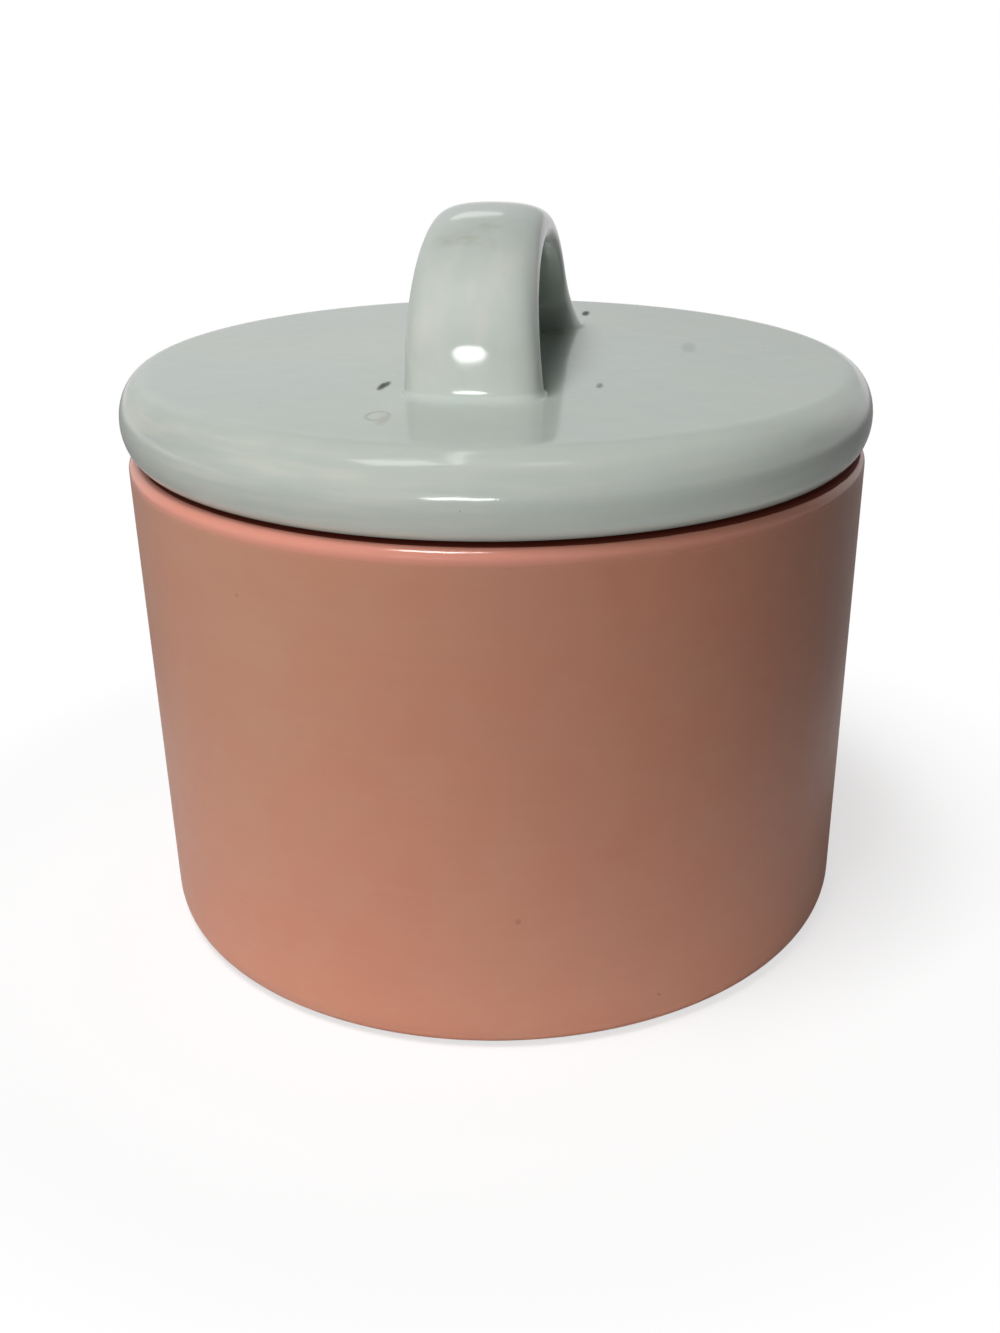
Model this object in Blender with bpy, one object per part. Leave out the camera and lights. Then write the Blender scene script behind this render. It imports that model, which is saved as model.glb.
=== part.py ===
"""A lidded salt dish in two fired pieces: a straight-sided pot, and a thick lid with a strap handle.

Units are metres, +Z is up, and the origin is the middle of the foot ring, on the table. The strap
handle runs along Y, and -Y is the front.
"""

import math

import bmesh
import bpy

# Pot
POT_HEIGHT = 0.0724
POT_RIM_RADIUS = 0.0544
POT_DRAFT = 0.0007
POT_WALL = 0.0055
POT_FLOOR = 0.0060
RIM_OUTER_ROUND = 0.0015
RIM_INNER_ROUND = 0.0012
FLOOR_FILLET = 0.0080
FOOT_ROUND_WIDTH = 0.0024
FOOT_ROUND_HEIGHT = 0.0038
FOOT_RING_WIDTH = 0.0060
FOOT_RECESS = 0.0015

# Lid
LID_OVERHANG = 0.0006
LID_SHOULDER_WIDTH = 0.0047
LID_SHOULDER_HEIGHT = 0.0062
LID_UNDERCUT_HEIGHT = 0.0052
LID_PLATE = 0.0065
HOLLOW_FILLET = 0.0040
FLANGE_DEPTH = 0.0080
FLANGE_WALL = 0.0045
FLANGE_DRAFT = 0.0004
FLANGE_ROUND = 0.0015
SEAT_LAND = 0.0017

# Strap handle
HANDLE_LENGTH = 0.0584
HANDLE_HEIGHT = 0.0215
HANDLE_FOOT_THICKNESS = 0.0092
HANDLE_TOP_THICKNESS = 0.0070
HANDLE_FOOT_WIDTH = 0.0185
HANDLE_TOP_WIDTH = 0.0164
HANDLE_OFFSET_X = -0.0005
HANDLE_OFFSET_Y = 0.0006
FOOT_FLARE_WIDTH = 0.0018
FOOT_FLARE_HEIGHT = 0.0032

# How full the two arches are, along the lid and upwards: 2 is an ellipse, and more upwards makes the
# legs stand straighter. The strap's section has one such number.
OUTER_ARCH_FULLNESS = (1.9, 2.8)
INNER_ARCH_FULLNESS = (1.9, 2.6)
STRAP_FULLNESS = 2.8

# Clearances
SEAT_GAP = 0.0003
LUTING_GAP = 0.0003
FLANGE_CLEARANCE = 0.0009

# Facets
TURNED_STEPS = 64
ARC_STEPS = 6
ARCH_STEPS = 32
STRAP_STEPS = 24
SHARP_ANGLE = math.radians(40)
AXIS_MERGE = 0.00001

# Sizes that follow from the ones above
POT_FOOT_RADIUS = POT_RIM_RADIUS - POT_DRAFT
POT_BORE_RADIUS = POT_RIM_RADIUS - POT_WALL
RIM_CROWN_RADIUS = POT_BORE_RADIUS + RIM_INNER_ROUND
LID_RADIUS = POT_RIM_RADIUS + LID_OVERHANG
LID_SEAT_RADIUS = RIM_CROWN_RADIUS + SEAT_LAND
LID_THICKNESS = LID_UNDERCUT_HEIGHT + LID_SHOULDER_HEIGHT
FLANGE_RADIUS = POT_BORE_RADIUS - FLANGE_CLEARANCE

PINK_GLAZE = (0.52, 0.22, 0.165)
GREEN_GREY_GLAZE = (0.47, 0.52, 0.47)


def arc(centre_r, centre_z, width, height, start_deg, end_deg):
    """Points of an elliptical arc in the profile plane, both ends included."""
    points = []
    for step in range(ARC_STEPS + 1):
        angle = math.radians(start_deg + (end_deg - start_deg) * step / ARC_STEPS)
        points.append((centre_r + width * math.cos(angle), centre_z + height * math.sin(angle)))
    return points


def pot_profile():
    """Half section of the pot: from the floor's middle, up the bore, over the rim and down to the foot."""
    floor_bore = POT_FOOT_RADIUS - POT_WALL
    fillet_r = floor_bore - FLOOR_FILLET
    fillet_z = POT_FLOOR + FLOOR_FILLET
    inner_rim_z = POT_HEIGHT - RIM_INNER_ROUND
    outer_rim_r = POT_RIM_RADIUS - RIM_OUTER_ROUND
    outer_rim_z = POT_HEIGHT - RIM_OUTER_ROUND
    foot_outer = POT_FOOT_RADIUS - FOOT_ROUND_WIDTH
    foot_inner = foot_outer - FOOT_RING_WIDTH

    profile = [(0.0, POT_FLOOR)]
    profile += arc(fillet_r, fillet_z, FLOOR_FILLET, FLOOR_FILLET, -90, 0)
    profile += arc(RIM_CROWN_RADIUS, inner_rim_z, RIM_INNER_ROUND, RIM_INNER_ROUND, 180, 90)
    profile += arc(outer_rim_r, outer_rim_z, RIM_OUTER_ROUND, RIM_OUTER_ROUND, 90, 0)
    profile += arc(foot_outer, FOOT_ROUND_HEIGHT, FOOT_ROUND_WIDTH, FOOT_ROUND_HEIGHT, 0, -90)
    profile += [(foot_inner, 0.0), (foot_inner - FOOT_RECESS, FOOT_RECESS), (0.0, FOOT_RECESS)]
    return profile


def lid_profile():
    """Half section of the lid, with its seat on the pot's rim at height 0: top, edge, flange, hollow."""
    edge_z = LID_UNDERCUT_HEIGHT
    shoulder_r = LID_RADIUS - LID_SHOULDER_WIDTH
    undercut_width = LID_RADIUS - LID_SEAT_RADIUS
    tip_outer = FLANGE_RADIUS - FLANGE_DRAFT
    hollow_r = FLANGE_RADIUS - FLANGE_WALL
    tip_inner = hollow_r + FLANGE_DRAFT
    tip_z = FLANGE_ROUND - FLANGE_DEPTH
    hollow_z = LID_THICKNESS - LID_PLATE
    fillet_r = hollow_r - HOLLOW_FILLET
    fillet_z = hollow_z - HOLLOW_FILLET

    profile = [(0.0, LID_THICKNESS)]
    profile += arc(shoulder_r, edge_z, LID_SHOULDER_WIDTH, LID_SHOULDER_HEIGHT, 90, 0)
    profile += arc(LID_SEAT_RADIUS, edge_z, undercut_width, LID_UNDERCUT_HEIGHT, 0, -90)[1:]
    profile += [(FLANGE_RADIUS, 0.0)]
    profile += arc(tip_outer - FLANGE_ROUND, tip_z, FLANGE_ROUND, FLANGE_ROUND, 0, -90)
    profile += arc(tip_inner + FLANGE_ROUND, tip_z, FLANGE_ROUND, FLANGE_ROUND, -90, -180)
    profile += arc(fillet_r, fillet_z, HOLLOW_FILLET, HOLLOW_FILLET, 0, 90)
    profile += [(0.0, hollow_z)]
    return profile


def signed_power(value, exponent):
    return math.copysign(abs(value) ** exponent, value)


def arch_point(half_length, height, fullness, angle):
    """A point of a rounded arch, which runs from its front foot, at angle 0, to its rear foot, at pi."""
    along_fullness, up_fullness = fullness
    along = -half_length * signed_power(math.cos(angle), 2 / along_fullness)
    up = height * abs(math.sin(angle)) ** (2 / up_fullness)
    return along, up


def strap_section(angle):
    """One ring of the strap handle, between the inner and the outer arch, widened towards the feet."""
    outer_half = HANDLE_LENGTH / 2
    inner_half = outer_half - HANDLE_FOOT_THICKNESS
    inner_height = HANDLE_HEIGHT - HANDLE_TOP_THICKNESS
    outer_y, outer_z = arch_point(outer_half, HANDLE_HEIGHT, OUTER_ARCH_FULLNESS, angle)
    inner_y, inner_z = arch_point(inner_half, inner_height, INNER_ARCH_FULLNESS, angle)
    middle_y, middle_z = (outer_y + inner_y) / 2, (outer_z + inner_z) / 2
    thick_y, thick_z = outer_y - inner_y, outer_z - inner_z
    thickness = math.hypot(thick_y, thick_z)

    rise = outer_z / HANDLE_HEIGHT
    width = HANDLE_FOOT_WIDTH + (HANDLE_TOP_WIDTH - HANDLE_FOOT_WIDTH) * rise
    flare = FOOT_FLARE_WIDTH * max(0.0, 1 - middle_z / FOOT_FLARE_HEIGHT) ** 2
    half_width = width / 2 + flare
    half_thickness = thickness / 2 + flare

    ring = []
    for step in range(STRAP_STEPS):
        turn = 2 * math.pi * step / STRAP_STEPS
        across = half_width * signed_power(math.cos(turn), 2 / STRAP_FULLNESS)
        through = half_thickness * signed_power(math.sin(turn), 2 / STRAP_FULLNESS) / thickness
        ring.append((across, middle_y + thick_y * through, middle_z + thick_z * through))
    return ring


def glaze(name, colour, roughness):
    material = bpy.data.materials.new(name)
    material.use_nodes = True
    shader = material.node_tree.nodes["Principled BSDF"]
    shader.inputs["Base Color"].default_value = (*colour, 1.0)
    shader.inputs["Roughness"].default_value = roughness
    shader.inputs["Metallic"].default_value = 0.0
    return material


def finished_piece(name, build, material):
    """Closes a shape as an object of its own, smooth but for its real corners."""
    bmesh.ops.recalc_face_normals(build, faces=build.faces)
    mesh = bpy.data.meshes.new(name)
    build.to_mesh(mesh)
    build.free()
    mesh.shade_smooth()
    mesh.set_sharp_from_angle(angle=SHARP_ANGLE)
    mesh.materials.append(material)
    piece = bpy.data.objects.new(name, mesh)
    bpy.context.scene.collection.objects.link(piece)
    return piece


def turned_piece(name, profile, material):
    """A piece turned about Z from its half section, as on a potter's wheel."""
    build = bmesh.new()
    points = [build.verts.new((radius, 0.0, height)) for radius, height in profile]
    edges = [build.edges.new(pair) for pair in zip(points, points[1:])]
    bmesh.ops.spin(
        build,
        geom=points + edges,
        cent=(0.0, 0.0, 0.0),
        axis=(0.0, 0.0, 1.0),
        angle=2 * math.pi,
        steps=TURNED_STEPS,
        use_merge=True,
    )
    bmesh.ops.remove_doubles(build, verts=build.verts, dist=AXIS_MERGE)
    return finished_piece(name, build, material)


def strap_handle(name, material):
    """The handle, lofted through its rings from the front foot to the rear one."""
    build = bmesh.new()
    rings = []
    for step in range(ARCH_STEPS + 1):
        # Rings crowd together at the feet, where the strap flares.
        angle = math.pi * (1 - math.cos(math.pi * step / ARCH_STEPS)) / 2
        corners = [build.verts.new(point) for point in strap_section(angle)]
        rings.append([build.edges.new((corners[i - 1], corners[i])) for i in range(STRAP_STEPS)])
    for before, after in zip(rings, rings[1:]):
        bmesh.ops.bridge_loops(build, edges=before + after)
    for foot in (rings[0], rings[-1]):
        bmesh.ops.contextual_create(build, geom=foot)
    return finished_piece(name, build, material)


def main():
    for old in list(bpy.data.objects):
        bpy.data.objects.remove(old, do_unlink=True)

    turned_piece("pot", pot_profile(), glaze("Pink satin glaze", PINK_GLAZE, 0.35))

    lid = turned_piece("lid", lid_profile(), glaze("Grey-green gloss glaze", GREEN_GREY_GLAZE, 0.12))
    lid.location = (0.0, 0.0, POT_HEIGHT + SEAT_GAP)

    handle = strap_handle("lid_handle", glaze("Handle gloss glaze", GREEN_GREY_GLAZE, 0.12))
    handle.parent = lid
    handle.location = (HANDLE_OFFSET_X, HANDLE_OFFSET_Y, LID_THICKNESS + LUTING_GAP)


main()
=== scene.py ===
# %% [markdown]
# # A lidded salt dish
#
# The dish is two fired pieces: a straight-sided pot in a pink satin glaze, and a thick lid in a pale
# grey-green gloss glaze, which a strap handle lifts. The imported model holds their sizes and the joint
# that the lid lifts on. This lesson gives them their looks. The model is loaded first, because every
# piece here takes its size and place from it.

# %% Load the frame
import math

import bpy
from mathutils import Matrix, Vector


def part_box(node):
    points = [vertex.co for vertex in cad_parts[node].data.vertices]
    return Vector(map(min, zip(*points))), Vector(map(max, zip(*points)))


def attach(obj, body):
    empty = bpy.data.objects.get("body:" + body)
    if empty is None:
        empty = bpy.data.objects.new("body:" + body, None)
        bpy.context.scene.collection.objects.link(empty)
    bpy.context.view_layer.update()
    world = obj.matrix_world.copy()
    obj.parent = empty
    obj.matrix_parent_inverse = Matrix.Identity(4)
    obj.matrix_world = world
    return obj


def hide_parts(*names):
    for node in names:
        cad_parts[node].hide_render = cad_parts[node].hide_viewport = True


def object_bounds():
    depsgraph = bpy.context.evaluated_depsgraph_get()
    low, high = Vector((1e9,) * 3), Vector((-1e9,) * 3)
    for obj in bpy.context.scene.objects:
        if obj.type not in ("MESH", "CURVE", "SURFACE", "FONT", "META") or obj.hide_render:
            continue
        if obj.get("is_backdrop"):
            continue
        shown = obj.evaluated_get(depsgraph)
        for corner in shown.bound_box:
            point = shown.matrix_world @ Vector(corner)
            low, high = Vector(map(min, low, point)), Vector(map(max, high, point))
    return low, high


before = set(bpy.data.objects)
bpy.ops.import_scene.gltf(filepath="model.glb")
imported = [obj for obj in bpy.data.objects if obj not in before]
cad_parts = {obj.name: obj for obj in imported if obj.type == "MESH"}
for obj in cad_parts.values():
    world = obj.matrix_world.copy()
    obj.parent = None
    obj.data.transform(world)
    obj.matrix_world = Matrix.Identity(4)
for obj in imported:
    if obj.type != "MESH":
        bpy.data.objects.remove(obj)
cad_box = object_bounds()


def say_box(title, box):
    """Prints the two corners of a box in metres."""
    print(title, *(tuple(round(value, 4) for value in corner) for corner in box))


say_box("CAD box:", cad_box)

# %% [markdown]
# Most sizes below are millimetres on a potter's rule, and Blender counts in metres, so one factor turns
# the first into the second. The outer sizes come from the boxes of the model's own pieces.

# %% Measure the frame
MM = 0.001

pot_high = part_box("pot")[1]
lid_low, lid_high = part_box("lid")
handle_low, handle_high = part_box("lid_handle")

POT_RADIUS = pot_high.x
POT_HEIGHT = pot_high.z
LID_RADIUS = lid_high.x
LID_TOP = lid_high.z
FLANGE_TIP = lid_low.z
HANDLE_TOP = handle_high.z
HANDLE_X = (handle_low.x + handle_high.x) / 2
HANDLE_Y = (handle_low.y + handle_high.y) / 2
print(f"pot {POT_RADIUS * 2 / MM:.1f} mm across, lid {LID_RADIUS * 2 / MM:.1f} mm")
print(f"top of the handle at {HANDLE_TOP / MM:.1f} mm")

# %% [markdown]
# Pot and lid are turned, so both can be raised the way a potter throws them: from a disc, ring by ring.
# A Spin of half a section would give the same shape, but a ring that is extruded and scaled shows at each
# step where the wall is, and every ring stays a clean circle. Rounded corners are stretches of rings on
# an elliptical arc, and straight walls get a few rings between their ends, so that the quads stay even.

# %% Throwing helpers
WHEEL_STEPS = 128
CORNER_STEPS = 8


def arc(centre, size, start, end):
    """Rings round a corner: centre and size are a radius and a height, and the angles are degrees."""
    rings = []
    for step in range(CORNER_STEPS + 1):
        angle = math.radians(start + (end - start) * step / CORNER_STEPS)
        rings.append((centre[0] + size[0] * math.cos(angle), centre[1] + size[1] * math.sin(angle)))
    return rings


def round_corner(radius, height, size, start, end):
    """Rings round a corner that is part of a circle, about a centre at a radius and a height."""
    return arc((radius, height), (size, size), start, end)


def between(first, last, count):
    """Rings that share out the straight stretch between two others."""
    shares = [step / (count + 1) for step in range(1, count + 1)]
    return [tuple(a + (b - a) * share for a, b in zip(first, last)) for share in shares]


def wall(first_corner, last_corner, count):
    """Two corners with a straight wall between them."""
    return first_corner + between(first_corner[-1], last_corner[0], count) + last_corner


print(f"{WHEEL_STEPS} points to a ring, {CORNER_STEPS + 1} rings to a corner")

# %% [markdown]
# Throwing starts with a filled circle. Its edge is extruded to the height of the next ring and scaled to
# that ring's radius, again and again, and the last ring is filled. The Subdivision Surface modifier then
# rounds the piece, and it is applied, so that the finished mesh is what gets measured.

# %% Throw a piece


def close_mesh():
    """Points the faces of the mesh in edit mode outwards, and leaves edit mode."""
    bpy.ops.mesh.select_all(action="SELECT")
    bpy.ops.mesh.normals_make_consistent(inside=False)
    bpy.ops.object.mode_set(mode="OBJECT")


def throw(name, rings):
    """Raises a turned piece from a disc, ring by ring, and closes it at the last ring."""
    bpy.ops.object.select_all(action="DESELECT")
    radius, height = rings[0]
    bpy.ops.mesh.primitive_circle_add(
        vertices=WHEEL_STEPS, radius=radius, fill_type="NGON", location=(0, 0, height)
    )
    piece = bpy.context.object
    piece.name = name
    bpy.ops.object.transform_apply(location=True, rotation=False, scale=False)
    bpy.ops.object.mode_set(mode="EDIT")
    bpy.ops.mesh.select_mode(type="EDGE")
    bpy.ops.mesh.select_all(action="SELECT")
    for next_radius, next_height in rings[1:]:
        bpy.ops.mesh.extrude_edges_move(
            TRANSFORM_OT_translate={"value": (0, 0, next_height - height)}
        )
        growth = next_radius / radius
        bpy.ops.transform.resize(value=(growth, growth, 1), center_override=(0, 0, next_height))
        radius, height = next_radius, next_height
    bpy.ops.mesh.edge_face_add()
    close_mesh()
    return piece


def smooth(piece, levels=1):
    """Rounds a piece with a subdivision surface, applies it, and shades the piece smooth."""
    bpy.ops.object.select_all(action="DESELECT")
    piece.select_set(True)
    bpy.context.view_layer.objects.active = piece
    bpy.ops.object.modifier_add(type="SUBSURF")
    modifier = piece.modifiers[-1]
    modifier.levels = levels
    modifier.render_levels = levels
    modifier.use_limit_surface = False
    bpy.ops.object.modifier_apply(modifier=modifier.name)
    bpy.ops.object.shade_smooth()
    print(f"{piece.name}: {len(piece.data.polygons)} faces")


# %% [markdown]
# The pot is a plain cylinder that widens by well under a millimetre to its rim. What makes it read as
# ceramic is its corners: a small roll at the rim, a soft turn at the foot, and a wide fillet inside,
# where a finger has to reach the last salt. It stands on a ring, and the base inside that ring is
# hollowed a little, so that it can't rock. The rings run from the middle of the base, up the outside,
# over the rim and down to the middle of the floor.

# %% Throw the pot
POT_DRAFT = 0.7 * MM
POT_WALL = 5.5 * MM
POT_FLOOR = 6.0 * MM
RIM_OUTER_ROUND = 1.5 * MM
RIM_INNER_ROUND = 1.2 * MM
FLOOR_FILLET = 8.0 * MM
FOOT_ROUND = (2.4 * MM, 3.8 * MM)
FOOT_RING_WIDTH = 6.0 * MM
FOOT_RING_SOFTNESS = 0.4 * MM
FOOT_RECESS = 1.5 * MM
POLE_RADIUS = 2.0 * MM
MIDWAY = 0.5
NEAR_EDGE = 0.9
FOOT_RINGS = 2
OUTSIDE_RINGS = 16
INSIDE_RINGS = 12

foot_outer = POT_RADIUS - POT_DRAFT - FOOT_ROUND[0]
foot_inner = foot_outer - FOOT_RING_WIDTH
recess_edge = foot_inner - FOOT_RECESS
bore = POT_RADIUS - POT_WALL
floor_edge = bore - POT_DRAFT - FLOOR_FILLET

base = [(radius, FOOT_RECESS) for radius in (POLE_RADIUS, recess_edge * MIDWAY, recess_edge * NEAR_EDGE)]
foot_ring = [
    (recess_edge, FOOT_RECESS),
    (foot_inner - FOOT_RING_SOFTNESS, FOOT_RING_SOFTNESS),
    (foot_inner + FOOT_RING_SOFTNESS, 0.0),
]
foot_corner = arc((foot_outer, FOOT_ROUND[1]), FOOT_ROUND, -90, 0)
outer_rim = round_corner(POT_RADIUS - RIM_OUTER_ROUND, POT_HEIGHT - RIM_OUTER_ROUND, RIM_OUTER_ROUND, 0, 90)
inner_rim = round_corner(bore + RIM_INNER_ROUND, POT_HEIGHT - RIM_INNER_ROUND, RIM_INNER_ROUND, 90, 180)
floor_corner = round_corner(floor_edge, POT_FLOOR + FLOOR_FILLET, FLOOR_FILLET, 0, -90)
floor = [(floor_edge * MIDWAY, POT_FLOOR), (POLE_RADIUS, POT_FLOOR)]

pot = throw(
    "Pot",
    base
    + foot_ring
    + between(foot_ring[-1], foot_corner[0], FOOT_RINGS)
    + wall(foot_corner, outer_rim, OUTSIDE_RINGS)
    + wall(inner_rim, floor_corner, INSIDE_RINGS)
    + floor,
)
smooth(pot)

# %% [markdown]
# The lid is one thick disc with a full, rounded edge, like a river pebble cut flat on top. Under it a
# flange drops into the pot and keeps the lid centred, and the middle is hollowed to save clay and to
# dry evenly. The rings start in the hollow, go down and round the flange, out along the seat, round
# the edge and in over the top.

# %% Throw the lid
SEAT_GAP = 0.3 * MM
LID_SEAT = POT_HEIGHT + SEAT_GAP
LID_UNDERCUT = (3.2 * MM, 5.2 * MM)
LID_SHOULDER = (4.7 * MM, LID_TOP - LID_SEAT - LID_UNDERCUT[1])
LID_PLATE = 6.5 * MM
HOLLOW_FILLET = 4.0 * MM
FLANGE_WALL = 4.5 * MM
FLANGE_CLEARANCE = 0.9 * MM
FLANGE_DRAFT = 0.4 * MM
FLANGE_ROUND = 1.5 * MM
SEAT_CORNER = ((0.0, -0.5 * MM), (0.1 * MM, -0.1 * MM), (0.5 * MM, 0.0))
FLANGE_INSIDE_RINGS = 2
FLANGE_OUTSIDE_RINGS = 3
SEAT_RINGS = 1
TOP_RINGS = 14

flange_outer = bore - FLANGE_CLEARANCE
flange_inner = flange_outer - FLANGE_WALL
hollow_top = LID_TOP - LID_PLATE
hollow_edge = flange_inner - HOLLOW_FILLET
edge_height = LID_SEAT + LID_UNDERCUT[1]
tip_height = FLANGE_TIP + FLANGE_ROUND

hollow = [(POLE_RADIUS, hollow_top), (hollow_edge * MIDWAY, hollow_top)]
hollow_corner = round_corner(hollow_edge, hollow_top - HOLLOW_FILLET, HOLLOW_FILLET, 90, 0)
tip = round_corner(flange_inner + FLANGE_DRAFT + FLANGE_ROUND, tip_height, FLANGE_ROUND, -180, -90)
tip += round_corner(flange_outer - FLANGE_DRAFT - FLANGE_ROUND, tip_height, FLANGE_ROUND, -90, 0)
seat_corner = [(flange_outer + out, LID_SEAT + up) for out, up in SEAT_CORNER]
undercut = arc((LID_RADIUS - LID_UNDERCUT[0], edge_height), LID_UNDERCUT, -90, 0)
shoulder = arc((LID_RADIUS - LID_SHOULDER[0], edge_height), LID_SHOULDER, 0, 90)
middle = (POLE_RADIUS, LID_TOP)

lid = throw(
    "Lid",
    hollow
    + wall(hollow_corner, tip, FLANGE_INSIDE_RINGS)
    + between(tip[-1], seat_corner[0], FLANGE_OUTSIDE_RINGS)
    + wall(seat_corner, undercut, SEAT_RINGS)
    + shoulder[1:]
    + between(shoulder[-1], middle, TOP_RINGS)
    + [middle],
)
smooth(lid)

# %% [markdown]
# The handle is a strap of clay, bent into an arch and luted to the lid while both were soft. A curve with
# a bevel would sweep a strap too, but it keeps one section all the way, and this strap is wider and
# thicker at its feet than at its crown. So it is pulled like clay: an oval is extruded from one foot
# over to the other, and at each station it is tilted, resized and moved to its place.
#
# Two arches guide it, one over the strap and one under it. Each is a superellipse, an ellipse whose two
# exponents say how full it is along the lid and upwards. More than 2 upwards makes the legs stand upright.
#
# Each foot was smeared onto the lid with wet clay, which left a fillet: low and long at the front, tall at
# the rear. A fillet is three sizes: how far it spreads sideways, how far along the lid, and how high it
# starts. Its hem dips a hair under the lid's glaze, so that no gap shows.

# %% Guide the strap
STRAP_FOOT_WIDTH = 18.5 * MM
STRAP_CROWN_WIDTH = 16.4 * MM
STRAP_FOOT_THICKNESS = 9.2 * MM
STRAP_CROWN_THICKNESS = 7.0 * MM
FRONT_FILLET = (0.5 * MM, 2.8 * MM, 1.5 * MM)
REAR_FILLET = (2.6 * MM, 2.6 * MM, 9.0 * MM)
FOOT_MARGIN = 1.3 * MM
ARCH_START = 1.0 * MM
OUTER_ARCH_FULLNESS = (1.9, 2.8)
INNER_ARCH_FULLNESS = (1.9, 2.6)

arch_foot = LID_TOP + ARCH_START
arch_height = HANDLE_TOP - arch_foot
arch_reach = (handle_high.y - handle_low.y) / 2 - FOOT_MARGIN
print(f"arch {arch_reach * 2 / MM:.1f} mm long, {arch_height / MM:.1f} mm high")


def arch_point(reach, height, fullness, angle):
    """A point of an arch, from its front foot at angle 0 to its rear foot at pi: along the lid, and up."""
    along = -math.copysign(reach * abs(math.cos(angle)) ** (2 / fullness[0]), math.cos(angle))
    up = height * abs(math.sin(angle)) ** (2 / fullness[1])
    return along, up


def fillet_spread(height, fillet):
    """How far a foot has spread, sideways and along, at a height over the lid: quarters of ellipses."""
    side, along, top = fillet
    share = 1 - math.sqrt(1 - max(1 - height / top, 0) ** 2)
    return side * share, along * share


# %% [markdown]
# A station says where the oval lies: how far along the lid, how high, how far it is tilted, and half its
# width and thickness. On the arch the oval fills the space between the two guides. Below the arch, each
# foot adds a few more stations that follow its fillet down to the hem.

# %% Lay out the stations
ARCH_STATIONS = 36
FILLET_STATIONS = 6
HEM_SPREAD = 1.0 * MM
HEM_DEPTH = 0.06 * MM


def arch_station(angle):
    """The station between both guides at an angle of the arch."""
    outer_y, outer_z = arch_point(arch_reach, arch_height, OUTER_ARCH_FULLNESS, angle)
    inner_reach = arch_reach - STRAP_FOOT_THICKNESS
    inner_height = arch_height - STRAP_CROWN_THICKNESS
    inner_y, inner_z = arch_point(inner_reach, inner_height, INNER_ARCH_FULLNESS, angle)
    height = arch_foot + (outer_z + inner_z) / 2
    fillet = FRONT_FILLET if angle < math.pi / 2 else REAR_FILLET
    side, back = fillet_spread(height - LID_TOP, fillet)
    width = STRAP_FOOT_WIDTH + (STRAP_CROWN_WIDTH - STRAP_FOOT_WIDTH) * outer_z / arch_height
    thickness = math.hypot(outer_y - inner_y, outer_z - inner_z)
    tilt = -math.atan2(outer_z - inner_z, inner_y - outer_y)
    return (outer_y + inner_y) / 2, height, tilt, width / 2 + side, thickness / 2 + back


def foot_stations(along, tilt, fillet):
    """The stations of one foot from the lid upwards: the hem, then the fillet that runs into the leg."""
    rises = [(-HEM_DEPTH, (fillet[0] + HEM_SPREAD, fillet[1] + HEM_SPREAD))]
    for step in range(FILLET_STATIONS):
        height = ARCH_START * (1 - math.cos(math.radians(90 * step / FILLET_STATIONS)))
        rises.append((height, fillet_spread(height, fillet)))
    half_width, half_thickness = STRAP_FOOT_WIDTH / 2, STRAP_FOOT_THICKNESS / 2
    return [
        (along, LID_TOP + height, tilt, half_width + side, half_thickness + back)
        for height, (side, back) in rises
    ]


leg_middle = arch_reach - STRAP_FOOT_THICKNESS / 2
front_foot = foot_stations(-leg_middle, 0.0, FRONT_FILLET)
rear_foot = foot_stations(leg_middle, -math.pi, REAR_FILLET)
arch = [arch_station(math.pi * step / ARCH_STATIONS) for step in range(ARCH_STATIONS + 1)]
strap = front_foot + arch + rear_foot[::-1]
print(f"strap: {len(strap)} stations")

# %% [markdown]
# The oval starts as a Bezier circle, whose four points get longer handles, so that it fills out towards
# a rounded rectangle, as a pulled strap does. As a mesh it is one closed edge, and every station then
# takes four moves: extrude it in place, lay it flat to resize it, tilt it, and carry it along the arch.
# The hand that bent this strap let its crown lean a little to the left.

# %% Pull the strap
SECTION_FULLNESS = 0.73
SECTION_RESOLUTION = 8
CROWN_LEAN = -0.45 * MM


def oval(name):
    """A closed edge of unit size, fuller than a circle."""
    bpy.ops.object.select_all(action="DESELECT")
    bpy.ops.curve.primitive_bezier_circle_add(radius=1)
    section = bpy.context.object
    section.name = name
    section.data.resolution_u = SECTION_RESOLUTION
    for point in section.data.splines[0].bezier_points:
        point.handle_left_type = "ALIGNED"
        point.handle_right_type = "ALIGNED"
        for handle_end in ("handle_left", "handle_right"):
            arm = getattr(point, handle_end) - point.co
            setattr(point, handle_end, point.co + arm.normalized() * SECTION_FULLNESS)
    bpy.ops.object.convert(target="MESH")
    return section


def turn_section(angle, centre):
    """Turns the selected edge about a line along X; without a window the operator turns the other way."""
    bpy.ops.transform.rotate(value=-angle, orient_axis="X", center_override=centre)


def pull_strap(name, stations):
    """Extrudes an oval from station to station and closes both ends."""
    piece = oval(name)
    bpy.ops.object.mode_set(mode="EDIT")
    bpy.ops.mesh.select_mode(type="EDGE")
    bpy.ops.mesh.select_all(action="SELECT")
    centre, old_tilt, old_size = (0, 0, 0), 0.0, (1, 1)
    for number, (along, height, tilt, half_width, half_thickness) in enumerate(stations):
        if number > 0:
            bpy.ops.mesh.extrude_edges_move()
        turn_section(-old_tilt, centre)
        growth = (half_width / old_size[0], half_thickness / old_size[1], 1)
        bpy.ops.transform.resize(value=growth, center_override=centre)
        turn_section(tilt, centre)
        lean = CROWN_LEAN * max(height - arch_foot, 0) / arch_height
        place = (HANDLE_X + lean, HANDLE_Y + along, height)
        bpy.ops.transform.translate(value=[new - old for new, old in zip(place, centre)])
        centre, old_tilt, old_size = place, tilt, (half_width, half_thickness)
        if number == 0:
            bpy.ops.mesh.edge_face_add()
    bpy.ops.mesh.edge_face_add()
    close_mesh()
    return piece


handle = pull_strap("Handle", strap)
smooth(handle, levels=2)

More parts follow.
